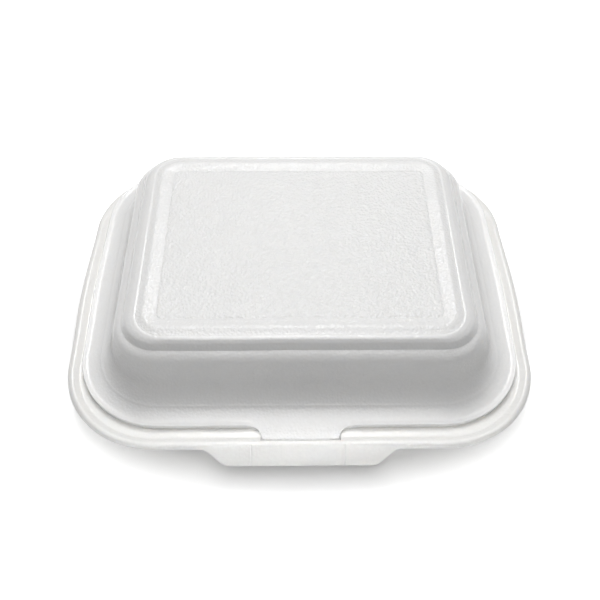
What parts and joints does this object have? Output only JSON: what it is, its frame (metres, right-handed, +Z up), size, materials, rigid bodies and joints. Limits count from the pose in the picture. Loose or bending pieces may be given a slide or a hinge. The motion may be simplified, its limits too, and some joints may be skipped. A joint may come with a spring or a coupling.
{
  "type": "foam clamshell container",
  "caption": "Hinged foam food box: shallow tray with a raised rim, domed lid with a textured top panel, fold along the back, and a front tongue that tucks into a slit behind a flap.",
  "frame": {"origin": "middle of the underside of the part's box, on the surface that it stands on", "axes": "+X along the width, -Y towards the front flap, +Z up; the hinge lies along X at the back"},
  "size_m": [0.226, 0.188, 0.0545],
  "materials": {
    "foam_base": "white foam with a pressed, slightly glossy skin",
    "foam_lid": "white foam with a pressed, slightly glossy skin and a fine grain on the top panel"
  },
  "bodies": {
    "base": {"base": "foam_base"},
    "lid": {"lid": "foam_lid"}
  },
  "joints": [
    {"name": "lid_hinge", "type": "hinge", "parent": "base", "child": "lid", "pos_m": [0, 0.09396, 0.0182], "axis": [-1, 0, 0], "range_deg": [0, 145]}
  ]
}
